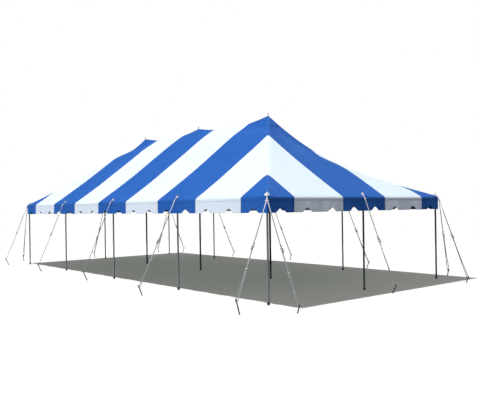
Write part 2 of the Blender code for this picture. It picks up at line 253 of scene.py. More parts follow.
def cloth_height(x, y):
    """Height of the real cloth: the canopy with its edges rolled and its small ripples.

    Across a hip the fold is cut off by a parabola, and a bell shape lifts the hip back to
    its line. At the eave a parabola takes the edge down into the hem.
    """
    from_end, from_side = half_length - np.abs(x), half_width - np.abs(y)
    from_edge = np.minimum(from_end, from_side)
    rise = from_edge / half_width
    fold = np.clip(1 - np.abs(from_end - from_side) / hip_roll_width, 0.0, 1.0)
    cut = (peak_height - eave_height) / half_width * hip_roll_width / 4 * fold ** 2
    lift = hip_lift * np.exp(-((from_end - from_side) / hip_spread) ** 2)
    roll = steady(rise / 0.2) * steady((1 - rise) / 0.16) * (lift - cut)
    drop = eave_drop * np.clip(1 - from_edge / eave_round, 0.0, 1.0) ** 2
    return roof_height(x, y) + cloth_ripple(x, y) + roll - drop


mitre_round = 0.040


def rounded_mitre(u, v):
    """Plan place of the cloth, moved along the hips so that the stripes turn in a curve.

    The move is a parabola across the hip and fades out at the eave and at the peak.
    """
    from_end, from_side = half_length - np.abs(u), half_width - np.abs(v)
    from_edge = np.minimum(from_end, from_side)
    fold = np.clip(1 - np.abs(from_end - from_side) / mitre_round, 0.0, 1.0)
    fade = steady(from_edge / 0.5) * steady((half_width - from_edge) / 0.5)
    move = mitre_round / 4 * fold ** 2 * fade
    return u + np.sign(u) * move, v + np.sign(v) * move


def panel_number(x, y):
    """Number of the striped panel over a point of the plan, counted outwards from the middle."""
    right, rear = np.where(x > 0, 1, 0), np.where(y > 0, 1, 0)
    along, across = np.abs(x) / stripe, np.abs(y) / stripe
    return np.select([along < 0.5, along < 1.5, (along < 2.5) | (across < 0.5),
                      (along < 3.5) | (across < 1.5)],
                     [0 * right, 1 + right, 3 + right, 5 + 2 * rear + right],
                     9 + 2 * rear + right)


panel_names = ["blue_middle_panel", "white_left_panel", "white_right_panel",
               "blue_left_end_panel", "blue_right_end_panel",
               "white_front_left_corner_panel", "white_front_right_corner_panel",
               "white_back_left_corner_panel", "white_back_right_corner_panel",
               "blue_front_left_corner_panel", "blue_front_right_corner_panel",
               "blue_back_left_corner_panel", "blue_back_right_corner_panel"]


def from_seam(u, v):
    """Distance in the plan to the nearest welded seam, which turns square at the hips."""
    along, across = np.abs(u) / stripe, np.abs(v) / stripe
    on_side = half_width - np.abs(v) < half_length - np.abs(u)
    by_side = np.abs(along - 0.5 - np.clip(np.round(along - 0.5), 0, 3))
    by_end = np.abs(across - 0.5 - np.clip(np.round(across - 0.5), 0, 1))
    return stripe * np.where(on_side, by_side, by_end)


valance_drop = 0.315


def hanging_wave(x, y, depth):
    """How far cloth that hangs from the eave stands out, as sine waves that grow with the depth.

    The waves run along the eave, where x and y take turns to change, and die at the corners.
    """
    along = x + y
    from_corner = np.maximum(half_length - np.abs(x), half_width - np.abs(y))
    free = np.clip((depth - 0.01) / (valance_drop - 0.01), 0.0, 1.0) ** 1.4
    calm = np.clip(from_corner / 0.5, 0.0, 1.0)
    wave = 0.0080 * np.sin(8.1 * along + 1.5 * np.sin(1.3 * along))
    wave += 0.0050 * np.sin(19.7 * along + 2.0 * np.sin(2.9 * along) + 0.8)
    return free * calm * (wave + 0.002)


# The roof, on a grid over its plan that goes on over the eave as a turned-down hem
cells_per_stripe = 56
hem_steps = np.array([0.004, 0.012, 0.030, 0.055])
eave_steps = np.array([0.009, 0.018, 0.036, 0.045])
hem_bulge = 0.0012


def plan_line(half):
    """Plan coordinates from eave to eave, closer at the eaves, and of the hem past each end."""
    steps = round(2 * half / stripe * cells_per_stripe)
    return np.sort(np.concatenate([-half - hem_steps, np.linspace(-half, half, steps + 1),
                                   half + hem_steps, eave_steps - half, half - eave_steps]))


line_u, line_v = plan_line(half_length), plan_line(half_width)
u, v = np.meshgrid(line_u, line_v, indexing="ij")
past = np.maximum(np.maximum(np.abs(u) - half_length, np.abs(v) - half_width), 0.0)
x, y = rounded_mitre(np.clip(u, -half_length, half_length), np.clip(v, -half_width, half_width))
bulge = hem_bulge * (1 - np.exp(-past / 0.006)) + hanging_wave(x, y, past)
roof_points = np.stack([x * (1 + bulge / half_length), y * (1 + bulge / half_width),
                        cloth_height(x, y) - past], axis=-1)
roof_uv = np.stack([u, v], axis=-1)
from_edge = np.minimum(half_length - np.abs(u), half_width - np.abs(v))
roof_place = np.stack([from_seam(u, v), from_edge, np.ones_like(u)], axis=-1)
roof_crest = np.hypot(np.maximum(np.abs(u) - peak_spacing, 0.0), v)

number = np.arange(u.size).reshape(u.shape)
hems = len(hem_steps)
for column, out_column in ((hems, -1), (len(line_u) - 1 - hems, 1)):
    for row, out_row in ((hems, -1), (len(line_v) - 1 - hems, 1)):
        for step in range(1, hems + 1):
            number[column + out_column * step, row] = number[column, row + out_row * step]
corners = [number[:-1, :-1], number[1:, :-1], number[1:, 1:], number[:-1, 1:]]
turned_corners = [number[1:, :-1], number[1:, 1:], number[:-1, 1:], number[:-1, :-1]]
middle_u = (u[:-1, :-1] + u[1:, 1:]) / 2
middle_v = (v[:-1, :-1] + v[1:, 1:]) / 2
along_hip = (middle_u * middle_v > 0)[..., None]
roof_faces = np.where(along_hip, np.stack(corners, axis=-1), np.stack(turned_corners, axis=-1))
off_corner = (np.abs(middle_u) < half_length) | (np.abs(middle_v) < half_width)
roof_faces = roof_faces[off_corner]
roof_owner = panel_number(middle_u, middle_v)[off_corner]

# The valance, on a grid along the eave and down the cloth, behind the hem
notch_spacing = stripe / 2
notch_half_width, notch_height = 0.150, 0.086
valance_top = 0.024
valance_step = stripe / 120
valance_rows = 15


def eave_line(along):
    """Plan point and outward way at a length along the eave, counted from the front left corner."""
    sides = np.cumsum([2 * half_length, 2 * half_width, 2 * half_length, 2 * half_width])
    x = np.interp(along, np.concatenate([[0], sides]),
                  [-half_length, half_length, half_length, -half_length, -half_length])
    y = np.interp(along, np.concatenate([[0], sides]),
                  [-half_width, -half_width, half_width, half_width, -half_width])
    out_x = np.where(np.abs(x) > half_length - 1e-6, np.sign(x), 0.0)
    out_y = np.where(np.abs(y) > half_width - 1e-6, np.sign(y), 0.0)
    return x, y, out_x, out_y


around = 4 * (half_length + half_width)
columns = round(around / valance_step)
along = np.arange(columns) * (around / columns)
eave_x, eave_y, out_x, out_y = eave_line(along)
from_notch = np.abs((along % notch_spacing) - notch_spacing / 2)
bell = np.cos(np.pi / 2 * np.clip(from_notch / notch_half_width, 0.0, 1.0)) ** 1.35
drop = valance_drop - notch_height * bell
share = np.linspace(0.0, 1.0, valance_rows)
depth = valance_top + share[None, :] * (drop[:, None] - valance_top)
stand = hanging_wave(eave_x[:, None], eave_y[:, None], depth) - 0.0008
valance_points = np.stack([eave_x[:, None] + out_x[:, None] * stand,
                           eave_y[:, None] + out_y[:, None] * stand,
                           eave_height - depth], axis=-1)
valance_uv = np.stack([np.broadcast_to(along[:, None], depth.shape), -depth], axis=-1)
seam_x, seam_y = np.abs(eave_x) / stripe, np.abs(eave_y) / stripe
to_seam = np.where(out_y != 0, np.abs(seam_x - 0.5 - np.clip(np.round(seam_x - 0.5), 0, 3)),
                   np.abs(seam_y - 0.5 - np.clip(np.round(seam_y - 0.5), 0, 1))) * stripe
valance_place = np.stack([np.broadcast_to(to_seam[:, None], depth.shape), -depth,
                          drop[:, None] - depth], axis=-1)
strip = np.arange(depth.size).reshape(depth.shape) + roof_points.size // 3
after = np.roll(strip, -1, axis=0)
valance_faces = np.stack([strip[:, :-1], strip[:, 1:], after[:, 1:], after[:, :-1]], axis=-1)
middle_x, middle_y, _, _ = eave_line(along + around / columns / 2)
valance_owner = np.broadcast_to(panel_number(middle_x, middle_y)[:, None],
                                valance_faces.shape[:2])

cloth_points = np.concatenate([roof_points.reshape(-1, 3), valance_points.reshape(-1, 3)])
cloth_uv = np.concatenate([roof_uv.reshape(-1, 2), valance_uv.reshape(-1, 2)])
cloth_place = np.concatenate([roof_place.reshape(-1, 3), valance_place.reshape(-1, 3)])
cloth_faces = np.concatenate([roof_faces, valance_faces.reshape(-1, 4)])
cloth_owner = np.concatenate([roof_owner, valance_owner.reshape(-1)])
cloth_crest = np.concatenate([roof_crest.ravel(), np.ones(depth.size)])


def make_piece(name, points, faces, materials, nodes, uv=None, place=None, crest=None,
               shades=None):
    """One piece of the tent from arrays of points and faces, riding on the tent's body.

    Faces have four corners. A corner that repeats the one before it is left out.
    """
    mesh = bpy.data.meshes.new(name)
    kept = faces != np.roll(faces, 1, axis=1)
    corner = faces[kept].astype(np.int32)
    start = np.concatenate([[0], np.cumsum(kept.sum(axis=1))[:-1]]).astype(np.int32)
    mesh.vertices.add(len(points))
    mesh.vertices.foreach_set("co", points.astype(np.float32).ravel())
    mesh.loops.add(len(corner))
    mesh.loops.foreach_set("vertex_index", corner)
    mesh.polygons.add(len(faces))
    mesh.polygons.foreach_set("loop_start", start)
    mesh.polygons.foreach_set("use_smooth", np.ones(len(faces), dtype=bool))
    if uv is not None:
        mesh.uv_layers.new(name="cloth").uv.foreach_set("vector",
                                                        uv[corner].astype(np.float32).ravel())
        mesh.attributes.new("place", "FLOAT_VECTOR", "POINT").data.foreach_set(
            "vector", place.astype(np.float32).ravel())
        mesh.attributes.new("crest", "FLOAT", "POINT").data.foreach_set(
            "value", crest.astype(np.float32))
    for material in materials:
        mesh.materials.append(material)
    if shades is not None:
        mesh.polygons.foreach_set("material_index", shades.astype(np.int32))
    mesh.update(calc_edges=True)
    piece = bpy.data.objects.new(name, mesh)
    scene.collection.objects.link(piece)
    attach(piece, "root")
    if nodes:
        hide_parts(*nodes)
    return piece


def sums(tree, operation, first, second):
    """The output of one Math node."""
    return node(tree, "Math", {0: first, 1: second}, operation=operation).outputs[0]


def band(tree, value, low, high, soft):
    """One between two values and nothing outside them, with soft edges."""
    up = node(tree, "MapRange", {"Value": value, "From Min": low - soft, "From Max": low + soft})
    down = node(tree, "MapRange", {"Value": value, "From Min": high - soft, "From Max": high + soft,
                                   "To Min": 1.0, "To Max": 0.0})
    return sums(tree, "MULTIPLY", up.outputs[0], down.outputs[0])


def tint(tree, factor, first, second):
    """A colour between two others."""
    mixed = node(tree, "Mix", data_type="RGBA", inputs={})
    for socket, value in ((0, factor), (6, first), (7, second)):
        if isinstance(value, bpy.types.NodeSocket):
            tree.links.new(value, mixed.inputs[socket])
        else:
            mixed.inputs[socket].default_value = value
    return mixed.outputs[2]


def coated_cloth(name, colour, worn, shade, roughness):
    """Coated cloth: a woven base under a smooth skin, with welds, stitched hems, weather, and a ridge
    strip darkened partly with painted shade.
    """
    material = bpy.data.materials.new(name)
    material.use_nodes = True
    tree = material.node_tree
    shader = tree.nodes["Principled BSDF"]
    shader.inputs["Specular IOR Level"].default_value = 0.08
    spot = node(tree, "TexCoord").outputs["Object"]
    on_cloth = node(tree, "UVMap", uv_map="cloth").outputs[0]
    thread = node(tree, "SeparateXYZ", {0: on_cloth})
    where = node(tree, "Attribute", attribute_name="place")
    edge = node(tree, "SeparateXYZ", {0: where.outputs["Vector"]})
    seam, hem, lower = edge.outputs[0], edge.outputs[1], edge.outputs[2]

    weather = node(tree, "TexNoise", {"Vector": spot, "Scale": 0.8, "Detail": 4.0,
                                      "Roughness": 0.55})
    patches = node(tree, "MapRange", {"Value": weather.outputs[0], "From Min": 0.35,
                                      "From Max": 0.65})
    grime = node(tree, "TexNoise", {"Vector": spot, "Scale": 9.0, "Detail": 6.0,
                                    "Roughness": 0.62})
    specks = node(tree, "MapRange", {"Value": grime.outputs[0], "From Min": 0.56,
                                     "From Max": 0.80, "To Max": 0.30})
    base = tint(tree, patches.outputs[0], colour, worn)
    base = tint(tree, specks.outputs[0], base, shade)
    weld = band(tree, seam, -1.0, 0.019, 0.0015)
    base = tint(tree, sums(tree, "MULTIPLY", weld, 0.22), base, shade)
    turned_hem = band(tree, hem, -0.055, 0.045, 0.001)
    base = tint(tree, sums(tree, "MULTIPLY", turned_hem, 0.05), base, shade)
    # Along the ridge and round the end peaks the cloth is darkened strongly: partly a welded ridge strip,
    # partly painted shade where the cloth turns over the crest.
    crest = node(tree, "Attribute", attribute_name="crest").outputs["Fac"]
    ridge_strip_and_painted_shade = band(tree, crest, -1.0, 0.024, 0.0015)
    base = tint(tree, sums(tree, "MULTIPLY", ridge_strip_and_painted_shade, 0.6), base, shade)
    bound = band(tree, lower, -0.1, 0.012, 0.001)
    base = tint(tree, sums(tree, "MULTIPLY", bound, 0.25), base, shade)

    dash = sums(tree, "SINE", sums(tree, "MULTIPLY", thread.outputs[0], 2 * np.pi / 0.007), 0.0)
    dash_v = sums(tree, "SINE", sums(tree, "MULTIPLY", thread.outputs[1], 2 * np.pi / 0.007), 0.0)
    row = sums(tree, "ADD", band(tree, hem, -0.0495, -0.0465, 0.0006),
               band(tree, hem, 0.036, 0.039, 0.0006))
    stitch = sums(tree, "MULTIPLY", row, sums(tree, "GREATER_THAN", sums(tree, "ADD", dash, dash_v),
                                              -0.6))
    base = tint(tree, sums(tree, "MULTIPLY", stitch, 0.12), base, (0.78, 0.80, 0.82, 1.0))
    tree.links.new(base, shader.inputs["Base Color"])

    gloss = node(tree, "MapRange", {"Value": grime.outputs[0], "From Min": 0.3, "From Max": 0.7,
                                    "To Min": roughness - 0.06, "To Max": roughness + 0.08})
    tree.links.new(gloss.outputs[0], shader.inputs["Roughness"])

    warp = sums(tree, "SINE", sums(tree, "MULTIPLY", thread.outputs[0], 2 * np.pi / 0.0022), 0.0)
    weft = sums(tree, "SINE", sums(tree, "MULTIPLY", thread.outputs[1], 2 * np.pi / 0.0022), 0.0)
    weave = sums(tree, "MULTIPLY", warp, weft)
    fine = node(tree, "Bump", {"Height": weave, "Strength": 0.25, "Distance": 0.0001})
    soft = node(tree, "TexNoise", {"Vector": spot, "Scale": 2.6, "Detail": 3.0,
                                   "Roughness": 0.5, "Distortion": 0.6})
    crumple = node(tree, "Bump", {"Height": soft.outputs[0], "Strength": 0.35,
                                  "Distance": 0.03, "Normal": fine.outputs[0]})
    layers = sums(tree, "ADD", sums(tree, "ADD", weld, turned_hem), bound)
    layers = sums(tree, "ADD", layers, ridge_strip_and_painted_shade)
    layers = sums(tree, "SUBTRACT", layers, sums(tree, "MULTIPLY", stitch, 0.5))
    raised = node(tree, "Bump", {"Height": layers, "Strength": 0.8, "Distance": 0.0012,
                                 "Normal": crumple.outputs[0]})
    tree.links.new(raised.outputs[0], shader.inputs["Normal"])
    return material


blue_cloth = coated_cloth("blue_coated_cloth", (0.017, 0.112, 0.425, 1.0),
                          (0.020, 0.122, 0.450, 1.0), (0.012, 0.066, 0.280, 1.0), 0.55)
white_cloth = coated_cloth("white_coated_cloth", (0.695, 0.815, 0.900, 1.0),
                           (0.720, 0.840, 0.925, 1.0), (0.480, 0.560, 0.640, 1.0), 0.55)

for owner, name in enumerate(panel_names):
    used, faces = np.unique(cloth_faces[cloth_owner == owner], return_inverse=True)
    blue = name.startswith("blue")
    panel = make_piece("cloth_" + name, cloth_points[used], faces.reshape(-1, 4),
                       [blue_cloth if blue else white_cloth],
                       [name],
                       uv=cloth_uv[used], place=cloth_place[used], crest=cloth_crest[used])
    wall = panel.modifiers.new("cloth_thickness", "SOLIDIFY")
    wall.thickness = cloth_thickness
    wall.offset = -1.0


# Reinforcing patches and grommets
# Round every pin a second piece of the cloth is welded on, with a plated steel grommet
# pressed through both layers.

side_patch, corner_patch, peak_patch = (0.30, 0.24), (0.24, 0.24), (0.52, 0.52)
patch_cells = 18
patch_lift = 0.0011
eave_gap = 0.006


def patch_shape(middle, size):
    """A patch with rounded corners on the cloth.

    Each side of a square is pulled in by half the square of the distance along the other,
    which turns a square into a round; here it is done in part.
    """
    line = np.linspace(-1.0, 1.0, patch_cells + 1)
    s, t = np.meshgrid(line, line, indexing="ij")
    x = middle[0] + size[0] / 2 * s * np.sqrt(1 - 0.18 * t ** 2)
    y = middle[1] + size[1] / 2 * t * np.sqrt(1 - 0.18 * s ** 2)
    x = np.clip(x, eave_gap - half_length, half_length - eave_gap)
    y = np.clip(y, eave_gap - half_width, half_width - eave_gap)
    border = np.minimum(size[0] / 2 * (1 - np.abs(s)), size[1] / 2 * (1 - np.abs(t)))
    points = np.stack([x, y, cloth_height(x, y) + patch_lift], axis=-1).reshape(-1, 3)
    cell = np.arange(s.size).reshape(s.shape)
    faces = np.stack([cell[:-1, :-1], cell[1:, :-1], cell[1:, 1:], cell[:-1, 1:]], axis=-1)
    place = np.stack([np.ones_like(x), np.ones_like(x), border], axis=-1).reshape(-1, 3)
    return points, faces.reshape(-1, 4), np.stack([x, y], axis=-1).reshape(-1, 2), place


def turned(profile, place, sides, closed=False):
    """Points and faces of a profile of (radius, height), carried once round an upright axis.

    A closed profile joins its last point to its first, as the round of a ring does.
    """
    radius, height = np.array(profile, dtype=float).T
    angle = 2 * np.pi * np.arange(sides) / sides
    points = np.stack([place[0] + radius[:, None] * np.cos(angle),
                       place[1] + radius[:, None] * np.sin(angle),
                       np.broadcast_to(height[:, None], (len(height), sides))], axis=-1)
    ring = np.arange(points.size // 3).reshape(len(height), sides)
    for end in (0, -1):
        if radius[end] == 0.0:
            ring[end] = ring[end, 0]
    if closed:
        ring = np.concatenate([ring, ring[:1]])
    beside = np.roll(ring, -1, axis=1)
    faces = np.stack([ring[:-1], beside[:-1], beside[1:], ring[1:]], axis=-1)
    return points.reshape(-1, 3), faces.reshape(-1, 4), np.repeat(np.arange(len(ring) - 1), sides)


def galvanised(name, colour, spangle, roughness):
    """Zinc-coated steel: crystal patches, fine scratches and dull weathered streaks."""
    material = bpy.data.materials.new(name)
    material.use_nodes = True
    tree = material.node_tree
    shader = tree.nodes["Principled BSDF"]
    shader.inputs["Metallic"].default_value = 0.85
    spot = node(tree, "TexCoord").outputs["Object"]
    crystals = node(tree, "TexVoronoi", {"Vector": spot, "Scale": 85.0})
    stretched = node(tree, "Mapping", {"Vector": spot, "Scale": (60.0, 60.0, 3.0)})
    streaks = node(tree, "TexNoise", {"Vector": stretched.outputs[0], "Scale": 1.0, "Detail": 5.0})
    facet = node(tree, "SeparateColor", {0: crystals.outputs["Color"]})
    shift = node(tree, "MapRange", {"Value": facet.outputs[0], "To Max": 0.55})
    base = tint(tree, shift.outputs[0], colour, spangle)
    dull = node(tree, "MapRange", {"Value": streaks.outputs[0], "From Min": 0.45, "From Max": 0.75,
                                   "To Max": 0.5})
    base = tint(tree, dull.outputs[0], base, (0.16, 0.17, 0.17, 1.0))
    tree.links.new(base, shader.inputs["Base Color"])
    rough = node(tree, "MapRange", {"Value": streaks.outputs[0], "From Min": 0.3, "From Max": 0.7,
                                    "To Min": roughness - 0.08, "To Max": roughness + 0.12})
    tree.links.new(rough.outputs[0], shader.inputs["Roughness"])
    bump = node(tree, "Bump", {"Height": streaks.outputs[0], "Strength": 0.2, "Distance": 0.0004})
    tree.links.new(bump.outputs[0], shader.inputs["Normal"])
    return material


grommet_zinc = galvanised("grommet_zinc", (0.36, 0.38, 0.38, 1.0), (0.48, 0.50, 0.50, 1.0), 0.35)
grommet_hole, grommet_rim = 0.0095, 0.0190
pins = [(name, place, name in ("front_1", "front_5", "back_1", "back_5"))
        for name, place in edge_poles.items()] + [(name, place, False)
                                                  for name, place in peak_poles.items()]
for name, place, at_corner in pins:
    if name in peak_poles:
        kind, size, middle = "end peak" if place[0] else "ridge", peak_patch, place
    elif at_corner:
        kind, size = "corner", corner_patch
        middle = [np.sign(place[0]) * (half_length - eave_gap - size[0] / 2),
                  np.sign(place[1]) * (half_width - eave_gap - size[1] / 2)]
    elif name.endswith("_end"):
        kind, size = "side", side_patch[::-1]
        middle = [np.sign(place[0]) * (half_length - eave_gap - size[0] / 2), place[1]]
    else:
        kind, size = "side", side_patch
        middle = [place[0], np.sign(place[1]) * (half_width - eave_gap - size[1] / 2)]
    points, faces, uv, spots = patch_shape(middle, size)
    patch = make_piece("patch_" + name, points, faces, [blue_cloth], [],
                       uv=uv, place=spots, crest=np.ones(len(points)))
    wall = patch.modifiers.new("patch_thickness", "SOLIDIFY")
    wall.thickness = 0.0009
    wall.offset = -1.0

    bead = [(grommet_hole, 0.0002), (grommet_hole + 0.0010, -0.0008), (grommet_rim - 0.0010, -0.0008),
            (grommet_rim, 0.0003), (grommet_rim - 0.0008, 0.0014), (grommet_rim - 0.0040, 0.0024),
            (grommet_hole + 0.0030, 0.0028), (grommet_hole + 0.0006, 0.0018)]
    points, faces, _ = turned(bead, place, 28, closed=True)
    points[:, 2] += cloth_height(points[:, 0], points[:, 1]) + patch_lift
    make_piece("grommet_" + name, points, faces, [grommet_zinc], [])


# Webbing under the canopy
# Polyester webbing sewn to the underside of the cloth, from every side pole to the peaks,
# along the ridge and the hips, and once round the eave. It carries the pull of the guys.

webbing_width, webbing_thickness = 0.050, 0.0016
webbing_gap = 0.0004


def under_strap(start, finish):
    """A strap under the cloth between two plan points.

    Its outline is a thin rectangle of five points a side, carried along the plan line
    and hung at each point below the height of the cloth there.
    """
    start, finish = np.array(start, dtype=float), np.array(finish, dtype=float)
    span = finish - start
    length = np.hypot(span[0], span[1])
    across = np.array([-span[1], span[0]]) / length
    share = np.linspace(0.0, 1.0, max(3, round(length / 0.05)))
    side = np.linspace(-webbing_width / 2, webbing_width / 2, 5)
    plan = start + share[:, None, None] * span + side[None, :, None] * across
    top = cloth_height(plan[..., 0], plan[..., 1]) - cloth_thickness * 1.25 - webbing_gap
    upper = np.concatenate([plan, top[..., None]], axis=-1)
    lower = upper - [0.0, 0.0, webbing_thickness]
    rings = np.concatenate([upper, lower[:, ::-1]], axis=1)
    ring = np.arange(rings.size // 3).reshape(rings.shape[:2])
    beside = np.roll(ring, -1, axis=1)
    walls = np.stack([ring[:-1], ring[1:], beside[1:], beside[:-1]], axis=-1).reshape(-1, 4)
    step = np.arange(4)
    ends = [np.stack([end[step], end[step + 1], end[8 - step], end[9 - step]], axis=-1)
            for end in (ring[0], ring[-1])]
    return rings.reshape(-1, 3), np.concatenate([walls, ends[0], ends[1][:, ::-1]])


def joined(shapes):
    """Several shapes of points and faces as one."""
    offset, all_points, all_faces = 0, [], []
    for points, faces in shapes:
        all_points.append(points)
        all_faces.append(faces + offset)
        offset += len(points)
    return np.concatenate(all_points), np.concatenate(all_faces)


def woven(name, colour, shade, weave_size, clean=None):
    """Braided polyester: fine crossing threads, grey handling marks and mud near the ground.

    A rope whose clean colour is given turns to it between 1.72 m and 1.84 m above the ground, so it is
    whiter towards the top.
    """
    material = bpy.data.materials.new(name)
    material.use_nodes = True
    tree = material.node_tree
    shader = tree.nodes["Principled BSDF"]
    shader.inputs["Roughness"].default_value = 0.82
    shader.inputs["Specular IOR Level"].default_value = 0.25
    spot = node(tree, "TexCoord").outputs["Object"]
    height = node(tree, "SeparateXYZ", {0: spot}).outputs[2]
    fibres = node(tree, "TexNoise", {"Vector": spot, "Scale": 1 / weave_size, "Detail": 4.0})
    marks = node(tree, "TexNoise", {"Vector": spot, "Scale": 14.0, "Detail": 4.0})
    soiled = node(tree, "MapRange", {"Value": marks.outputs[0], "From Min": 0.42, "From Max": 0.7,
                                     "To Max": 0.75})
    mud = node(tree, "MapRange", {"Value": height, "From Min": 0.12, "From Max": 0.7,
                                  "To Min": 0.45, "To Max": 0.0})
    base = tint(tree, soiled.outputs[0], colour, shade)
    base = tint(tree, mud.outputs[0], base, (0.30, 0.29, 0.25, 1.0))
    if clean:
        # Greyer below 1.72 m, the clean colour above 1.84 m.
        whiter_above = node(tree, "MapRange", {"Value": height, "From Min": 1.72, "From Max": 1.84})
        base = tint(tree, whiter_above.outputs[0], base, clean)
    tree.links.new(base, shader.inputs["Base Color"])
    bump = node(tree, "Bump", {"Height": fibres.outputs[0], "Strength": 0.6, "Distance": 0.0008})
    tree.links.new(bump.outputs[0], shader.inputs["Normal"])
    return material


white_webbing = woven("white_polyester_webbing", (0.62, 0.65, 0.66, 1.0), (0.42, 0.45, 0.46, 1.0), 0.0016)
hem_line = 0.040
straps = [(place, (float(np.clip(place[0], -peak_spacing, peak_spacing)), 0.0))
          for place in edge_poles.values()]
straps += [((-peak_spacing, 0.0), (peak_spacing, 0.0))]
corners = [(-1, -1), (1, -1), (1, 1), (-1, 1)]
straps += [tuple((side * (half_length - hem_line), end * (half_width - hem_line))
                 for side, end in (corners[number], corners[(number + 1) % 4]))
           for number in range(4)]
points, faces = joined([under_strap(*ends) for ends in straps])
make_piece("webbing_under_canopy", points, faces, [white_webbing], [])


# Poles
# Galvanised steel tubes with a rubber foot, a cap at the top and a pin that passes through
# a hole in the canopy. Two centre lengths join in a sleeve.

side_radius, centre_radius = 0.021, 0.0255
foot_radius, foot_height = 0.030, 0.055
pin_radius, pin_above, pin_taper = 0.008, 0.085, 0.015
cad_grid, cad_cloth, cad_under, touch_gap = 0.381, 0.004, 0.005, 0.0003


def canopy_over(pole):
    """Height of the canopy over a pole at the eave, and its slope there, as the solids have them."""
    inner_x = np.copysign(min(abs(pole[0]), half_length - cad_grid), pole[0])
    inner_y = np.copysign(min(abs(pole[1]), half_width - cad_grid), pole[1])
    slope = (float(roof_height(inner_x, inner_y)) - eave_height) / cad_grid
    return eave_height + slope * pole_inset, slope


def rubber(name, colour):
    """Moulded rubber with a fine grain and dust from the ground on its lower part."""
    material = bpy.data.materials.new(name)
    material.use_nodes = True
    tree = material.node_tree
    shader = tree.nodes["Principled BSDF"]
    spot = node(tree, "TexCoord").outputs["Object"]
    height = node(tree, "SeparateXYZ", {0: spot}).outputs[2]
    grain = node(tree, "TexNoise", {"Vector": spot, "Scale": 260.0, "Detail": 3.0})
    low = node(tree, "MapRange", {"Value": height, "From Min": 0.0, "From Max": 0.03,
                                  "To Min": 0.7, "To Max": 0.0})
    dust = sums(tree, "MULTIPLY", low.outputs[0], grain.outputs[0])
    tree.links.new(tint(tree, dust, colour, (0.20, 0.18, 0.15, 1.0)), shader.inputs["Base Color"])
    shader.inputs["Roughness"].default_value = 0.72
    bump = node(tree, "Bump", {"Height": grain.outputs[0], "Strength": 0.3, "Distance": 0.0005})
    tree.links.new(bump.outputs[0], shader.inputs["Normal"])
    return material


# The back, end and centre poles take darker copies of the same zinc: painted shade, deepest on the centre
# poles under the canopy.
zinc = galvanised("galvanised_tube", (0.23, 0.265, 0.28, 1.0), (0.31, 0.35, 0.365, 1.0), 0.42)
shaded_side_zinc = galvanised("painted_shade_tube", (0.042, 0.056, 0.058, 1.0), (0.065, 0.080, 0.082, 1.0), 0.55)
under_canopy_shade_zinc = galvanised("painted_deep_shade_tube", (0.011, 0.016, 0.014, 1.0), (0.019, 0.025, 0.022, 1.0), 0.6)
foot_rubber = rubber("foot_rubber", (0.018, 0.019, 0.020, 1.0))


def pole_profile(radius, shoulder, canopy, sleeve=None):
    """Profile of a pole from the ground up: rubber foot, tube, cap and pin."""
    foot = [(0.0, 0.0), (foot_radius - 0.003, 0.0), (foot_radius, 0.003), (foot_radius, 0.016),
            (foot_radius - 0.0015, 0.018), (foot_radius - 0.0015, 0.021), (foot_radius, 0.023),
            (foot_radius, 0.045), (foot_radius - 0.003, 0.052), (radius + 0.0035, foot_height),
            (radius, foot_height)]
    tube = [(radius, foot_height + 0.02)]
    if sleeve:
        tube += [(radius, sleeve - 0.085), (radius + 0.0022, sleeve - 0.0845),
                 (radius + 0.0025, sleeve - 0.08), (radius + 0.0025, sleeve + 0.08),
                 (radius + 0.0022, sleeve + 0.0845), (radius, sleeve + 0.085)]
    tip = canopy + pin_above
    top = [(radius, shoulder - 0.030), (radius + 0.0015, shoulder - 0.029),
           (radius + 0.0015, shoulder - 0.002), (radius, shoulder), (pin_radius + 0.004, shoulder),
           (pin_radius + 0.004, shoulder + 0.001), (pin_radius, shoulder + 0.001)]
    pin = [(pin_radius, tip - pin_taper), (pin_radius * 0.85, tip - pin_taper * 0.5),
           (pin_radius * 0.5, tip - 0.001), (pin_radius * 0.3, tip), (0.0, tip)]
    return foot + tube + top + pin, len(foot) - 1


def make_pole(name, place, radius, canopy, slope, steel, node_name, sleeve=None):
    """One pole in its place, with its foot in rubber and the rest in steel."""
    shoulder = canopy - cad_under - slope * (radius + cad_cloth) - touch_gap
    profile, foot_parts = pole_profile(radius, shoulder, canopy, sleeve)
    points, faces, part = turned(profile, place, 32)
    return make_piece(name, points, faces, [foot_rubber, steel], [node_name],
                      shades=np.where(part < foot_parts, 0, 1))


for name, place in edge_poles.items():
    # Front poles keep the lit zinc; the others take the copy with painted shade.
    steel = zinc if name.startswith("front") else shaded_side_zinc
    make_pole("tube_" + name, place, side_radius, *canopy_over(place), steel, "pole_" + name)
beside_peak = roof_height(peak_spacing + cad_grid, 0.0)
on_hip = roof_height(peak_spacing + cad_grid, cad_grid)
peak_slope = float(np.hypot(peak_height - beside_peak, beside_peak - on_hip)) / cad_grid
for name, place in peak_poles.items():
    # The centre poles take the darkest copy: painted deep shade under the canopy.
    make_pole("tube_" + name, place, centre_radius, peak_height, peak_slope, under_canopy_shade_zinc, name,
              sleeve=2.14)


# Guy ropes
# White twisted rope. Each is wound on a pin, runs over the hem and down to its ratchet.

